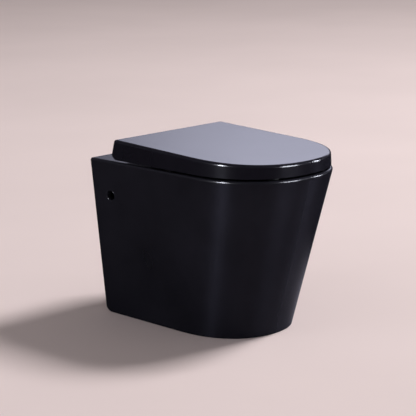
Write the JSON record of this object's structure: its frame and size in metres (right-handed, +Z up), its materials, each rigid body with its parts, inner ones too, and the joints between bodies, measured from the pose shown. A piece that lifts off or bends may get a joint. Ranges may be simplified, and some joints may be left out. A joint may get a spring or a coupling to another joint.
{
  "type": "toilet",
  "caption": "Skirted back-to-wall toilet pan with tapered sides, rim-flush wrap-over lid, soft-close seat and concealed wall studs.",
  "frame": {"origin": "centre of the overall box, on the floor under the pan", "axes": "+Z up, -Y towards the front of the bowl, +Y into the wall, +X to the user's left when seated"},
  "size_m": [0.36, 0.54, 0.4367],
  "materials": {
    "glaze": "satin black glaze",
    "lid_plastic": "satin black",
    "seat_plastic": "satin black",
    "hinge_plastic": "fine grained",
    "button_plastic": "fine grained",
    "damper_plastic": "moulded",
    "bright_steel": "turned stainless steel",
    "zinc_steel": "zinc plated",
    "soft_rubber": "moulded",
    "bush_plastic": "moulded"
  },
  "bodies": {
    "pan_body": {"pan": "glaze", "hinge_block_left": "hinge_plastic", "hinge_block_right": "hinge_plastic", "seat_damper": "damper_plastic", "lid_damper": "damper_plastic", "hinge_base_left": "bright_steel", "hinge_base_right": "bright_steel", "clamp_block_left": "zinc_steel", "clamp_block_right": "zinc_steel", "hinge_pads": "soft_rubber", "hinge_bolts": "bright_steel", "expansion_sleeves": "soft_rubber", "hinge_nuts": "bright_steel", "stud_bushes": "bush_plastic", "clamp_screws": "zinc_steel"},
    "seat_body": {"seat_ring": "seat_plastic", "ring_buffers": "soft_rubber", "seat_damper_shaft": "bright_steel", "seat_hinge_pin": "bright_steel"},
    "lid_body": {"lid": "lid_plastic", "lid_buffers": "soft_rubber", "lid_damper_shaft": "bright_steel", "lid_hinge_pin": "bright_steel"},
    "button_left": {"release_button_left": "button_plastic"},
    "button_right": {"release_button_right": "button_plastic"}
  },
  "joints": [
    {"name": "seat_hinge", "type": "hinge", "parent": "pan_body", "child": "seat_body", "pos_m": [0, 0.169, 0.4134], "axis": [-1, 0, 0], "range_deg": [0, 94]},
    {"name": "lid_hinge", "type": "hinge", "parent": "seat_body", "child": "lid_body", "pos_m": [0, 0.169, 0.4134], "axis": [-1, 0, 0], "range_deg": [0, 90]},
    {"name": "release_left", "type": "slide", "parent": "pan_body", "child": "button_left", "axis": [0, 1, 0], "range_m": [0, 0.0025], "stiffness_N_per_m": 600},
    {"name": "release_right", "type": "slide", "parent": "pan_body", "child": "button_right", "axis": [0, 1, 0], "range_m": [0, 0.0025], "stiffness_N_per_m": 600}
  ]
}
